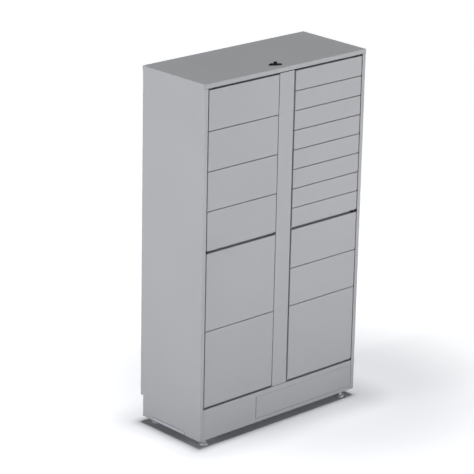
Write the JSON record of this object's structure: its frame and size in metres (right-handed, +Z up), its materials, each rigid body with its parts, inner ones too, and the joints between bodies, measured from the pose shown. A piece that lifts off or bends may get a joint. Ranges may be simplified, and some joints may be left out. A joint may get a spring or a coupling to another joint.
{
  "type": "parcel locker",
  "caption": "Free-standing grey steel parcel locker with two columns of flush hinged compartment doors, a centre lock spine, a service plinth and levelling feet.",
  "frame": {"origin": "floor level under the centre of the footprint", "axes": "+X to the right seen from the front, -Y towards the front (the doors), +Z up"},
  "size_m": [1.05, 0.442, 1.839],
  "materials": {
    "shell_paint": "fine satin powder coat, light grey",
    "door_paint": "fine satin powder coat, light grey",
    "inner_paint": "satin powder coat, light grey, thinner inside",
    "zinc_plate": "bright zinc plate",
    "pivot_steel": "turned steel",
    "bright_screws": "plated button heads",
    "supply_case": "folded aluminium case",
    "black_steel": "black electrophoretic coating",
    "lock_case": "black moulded plastic",
    "black_nylon": "black nylon, satin"
  },
  "bodies": {
    "cabinet": {"side_panel_left": "shell_paint", "side_panel_right": "shell_paint", "top_panel": "shell_paint", "base_tray": "inner_paint", "back_panel": "inner_paint", "rear_cover": "shell_paint", "side_liners": "inner_paint", "spine_cover": "shell_paint", "spine_channel": "inner_paint", "shelves": "inner_paint", "roof_deck": "inner_paint", "mid_decks": "inner_paint", "floor_deck": "inner_paint", "plinth_panel": "shell_paint", "plinth_access_cover": "shell_paint", "panel_screws": "bright_screws", "hinge_brackets": "black_steel", "hinge_pins": "pivot_steel", "lock_bodies": "lock_case", "lock_controller": "lock_case", "power_supply": "supply_case", "foot_pads": "zinc_plate", "foot_stems": "pivot_steel", "foot_locknuts": "zinc_plate", "anchor_plates": "zinc_plate", "cable_gland": "black_nylon"},
    "door_left_1": {"door_left_1": "door_paint"},
    "door_left_2": {"door_left_2": "door_paint"},
    "door_left_3": {"door_left_3": "door_paint"},
    "door_left_4": {"door_left_4": "door_paint"},
    "door_left_5": {"door_left_5": "door_paint"},
    "door_left_6": {"door_left_6": "door_paint"},
    "door_right_1": {"door_right_1": "door_paint"},
    "door_right_2": {"door_right_2": "door_paint"},
    "door_right_3": {"door_right_3": "door_paint"},
    "door_right_4": {"door_right_4": "door_paint"},
    "door_right_5": {"door_right_5": "door_paint"},
    "door_right_6": {"door_right_6": "door_paint"},
    "door_right_7": {"door_right_7": "door_paint"},
    "door_right_8": {"door_right_8": "door_paint"},
    "door_right_9": {"door_right_9": "door_paint"},
    "door_right_10": {"door_right_10": "door_paint"},
    "door_right_11": {"door_right_11": "door_paint"},
    "pawl_left_1": {"pawl_left_1": "zinc_plate"},
    "pawl_left_2": {"pawl_left_2": "zinc_plate"},
    "pawl_left_3": {"pawl_left_3": "zinc_plate"},
    "pawl_left_4": {"pawl_left_4": "zinc_plate"},
    "pawl_left_5": {"pawl_left_5": "zinc_plate"},
    "pawl_left_6": {"pawl_left_6": "zinc_plate"},
    "pawl_right_1": {"pawl_right_1": "zinc_plate"},
    "pawl_right_2": {"pawl_right_2": "zinc_plate"},
    "pawl_right_3": {"pawl_right_3": "zinc_plate"},
    "pawl_right_4": {"pawl_right_4": "zinc_plate"},
    "pawl_right_5": {"pawl_right_5": "zinc_plate"},
    "pawl_right_6": {"pawl_right_6": "zinc_plate"},
    "pawl_right_7": {"pawl_right_7": "zinc_plate"},
    "pawl_right_8": {"pawl_right_8": "zinc_plate"},
    "pawl_right_9": {"pawl_right_9": "zinc_plate"},
    "pawl_right_10": {"pawl_right_10": "zinc_plate"},
    "pawl_right_11": {"pawl_right_11": "zinc_plate"}
  },
  "joints": [
    {"name": "door_left_1_hinge", "type": "hinge", "parent": "cabinet", "child": "door_left_1", "pos_m": [-0.4865, -0.211, 1.6945], "axis": [0, 0, -1], "range_deg": [0, 110]},
    {"name": "door_left_2_hinge", "type": "hinge", "parent": "cabinet", "child": "door_left_2", "pos_m": [-0.4865, -0.211, 1.4965], "axis": [0, 0, -1], "range_deg": [0, 110]},
    {"name": "door_left_3_hinge", "type": "hinge", "parent": "cabinet", "child": "door_left_3", "pos_m": [-0.4865, -0.211, 1.3005], "axis": [0, 0, -1], "range_deg": [0, 110]},
    {"name": "door_left_4_hinge", "type": "hinge", "parent": "cabinet", "child": "door_left_4", "pos_m": [-0.4865, -0.211, 1.1045], "axis": [0, 0, -1], "range_deg": [0, 110]},
    {"name": "door_left_5_hinge", "type": "hinge", "parent": "cabinet", "child": "door_left_5", "pos_m": [-0.4865, -0.211, 0.7975], "axis": [0, 0, -1], "range_deg": [0, 110]},
    {"name": "door_left_6_hinge", "type": "hinge", "parent": "cabinet", "child": "door_left_6", "pos_m": [-0.4865, -0.211, 0.4035], "axis": [0, 0, -1], "range_deg": [0, 110]},
    {"name": "door_right_1_hinge", "type": "hinge", "parent": "cabinet", "child": "door_right_1", "pos_m": [0.4865, -0.211, 1.7435], "axis": [0, 0, 1], "range_deg": [0, 110]},
    {"name": "door_right_2_hinge", "type": "hinge", "parent": "cabinet", "child": "door_right_2", "pos_m": [0.4865, -0.211, 1.6435], "axis": [0, 0, 1], "range_deg": [0, 110]},
    {"name": "door_right_3_hinge", "type": "hinge", "parent": "cabinet", "child": "door_right_3", "pos_m": [0.4865, -0.211, 1.5455], "axis": [0, 0, 1], "range_deg": [0, 110]},
    {"name": "door_right_4_hinge", "type": "hinge", "parent": "cabinet", "child": "door_right_4", "pos_m": [0.4865, -0.211, 1.4475], "axis": [0, 0, 1], "range_deg": [0, 110]},
    {"name": "door_right_5_hinge", "type": "hinge", "parent": "cabinet", "child": "door_right_5", "pos_m": [0.4865, -0.211, 1.3495], "axis": [0, 0, 1], "range_deg": [0, 110]},
    {"name": "door_right_6_hinge", "type": "hinge", "parent": "cabinet", "child": "door_right_6", "pos_m": [0.4865, -0.211, 1.2515], "axis": [0, 0, 1], "range_deg": [0, 110]},
    {"name": "door_right_7_hinge", "type": "hinge", "parent": "cabinet", "child": "door_right_7", "pos_m": [0.4865, -0.211, 1.1535], "axis": [0, 0, 1], "range_deg": [0, 110]},
    {"name": "door_right_8_hinge", "type": "hinge", "parent": "cabinet", "child": "door_right_8", "pos_m": [0.4865, -0.211, 1.0555], "axis": [0, 0, 1], "range_deg": [0, 110]},
    {"name": "door_right_9_hinge", "type": "hinge", "parent": "cabinet", "child": "door_right_9", "pos_m": [0.4865, -0.211, 0.8955], "axis": [0, 0, 1], "range_deg": [0, 110]},
    {"name": "door_right_10_hinge", "type": "hinge", "parent": "cabinet", "child": "door_right_10", "pos_m": [0.4865, -0.211, 0.6975], "axis": [0, 0, 1], "range_deg": [0, 110]},
    {"name": "door_right_11_hinge", "type": "hinge", "parent": "cabinet", "child": "door_right_11", "pos_m": [0.4865, -0.211, 0.4035], "axis": [0, 0, 1], "range_deg": [0, 110]},
    {"name": "pawl_left_1_turn", "type": "hinge", "parent": "cabinet", "child": "pawl_left_1", "pos_m": [-0.033, -0.2007, 1.6945], "axis": [0, 1, 0], "range_deg": [0, 90]},
    {"name": "pawl_left_2_turn", "type": "hinge", "parent": "cabinet", "child": "pawl_left_2", "pos_m": [-0.033, -0.2007, 1.4965], "axis": [0, 1, 0], "range_deg": [0, 90]},
    {"name": "pawl_left_3_turn", "type": "hinge", "parent": "cabinet", "child": "pawl_left_3", "pos_m": [-0.033, -0.2007, 1.3005], "axis": [0, 1, 0], "range_deg": [0, 90]},
    {"name": "pawl_left_4_turn", "type": "hinge", "parent": "cabinet", "child": "pawl_left_4", "pos_m": [-0.033, -0.2007, 1.1045], "axis": [0, 1, 0], "range_deg": [0, 90]},
    {"name": "pawl_left_5_turn", "type": "hinge", "parent": "cabinet", "child": "pawl_left_5", "pos_m": [-0.033, -0.2007, 0.7975], "axis": [0, 1, 0], "range_deg": [0, 90]},
    {"name": "pawl_left_6_turn", "type": "hinge", "parent": "cabinet", "child": "pawl_left_6", "pos_m": [-0.033, -0.2007, 0.4035], "axis": [0, 1, 0], "range_deg": [0, 90]},
    {"name": "pawl_right_1_turn", "type": "hinge", "parent": "cabinet", "child": "pawl_right_1", "pos_m": [0.033, -0.2007, 1.7435], "axis": [0, -1, 0], "range_deg": [0, 90]},
    {"name": "pawl_right_2_turn", "type": "hinge", "parent": "cabinet", "child": "pawl_right_2", "pos_m": [0.033, -0.2007, 1.6435], "axis": [0, -1, 0], "range_deg": [0, 90]},
    {"name": "pawl_right_3_turn", "type": "hinge", "parent": "cabinet", "child": "pawl_right_3", "pos_m": [0.033, -0.2007, 1.5455], "axis": [0, -1, 0], "range_deg": [0, 90]},
    {"name": "pawl_right_4_turn", "type": "hinge", "parent": "cabinet", "child": "pawl_right_4", "pos_m": [0.033, -0.2007, 1.4475], "axis": [0, -1, 0], "range_deg": [0, 90]},
    {"name": "pawl_right_5_turn", "type": "hinge", "parent": "cabinet", "child": "pawl_right_5", "pos_m": [0.033, -0.2007, 1.3495], "axis": [0, -1, 0], "range_deg": [0, 90]},
    {"name": "pawl_right_6_turn", "type": "hinge", "parent": "cabinet", "child": "pawl_right_6", "pos_m": [0.033, -0.2007, 1.2515], "axis": [0, -1, 0], "range_deg": [0, 90]},
    {"name": "pawl_right_7_turn", "type": "hinge", "parent": "cabinet", "child": "pawl_right_7", "pos_m": [0.033, -0.2007, 1.1535], "axis": [0, -1, 0], "range_deg": [0, 90]},
    {"name": "pawl_right_8_turn", "type": "hinge", "parent": "cabinet", "child": "pawl_right_8", "pos_m": [0.033, -0.2007, 1.0555], "axis": [0, -1, 0], "range_deg": [0, 90]},
    {"name": "pawl_right_9_turn", "type": "hinge", "parent": "cabinet", "child": "pawl_right_9", "pos_m": [0.033, -0.2007, 0.8955], "axis": [0, -1, 0], "range_deg": [0, 90]},
    {"name": "pawl_right_10_turn", "type": "hinge", "parent": "cabinet", "child": "pawl_right_10", "pos_m": [0.033, -0.2007, 0.6975], "axis": [0, -1, 0], "range_deg": [0, 90]},
    {"name": "pawl_right_11_turn", "type": "hinge", "parent": "cabinet", "child": "pawl_right_11", "pos_m": [0.033, -0.2007, 0.4035], "axis": [0, -1, 0], "range_deg": [0, 90]}
  ]
}
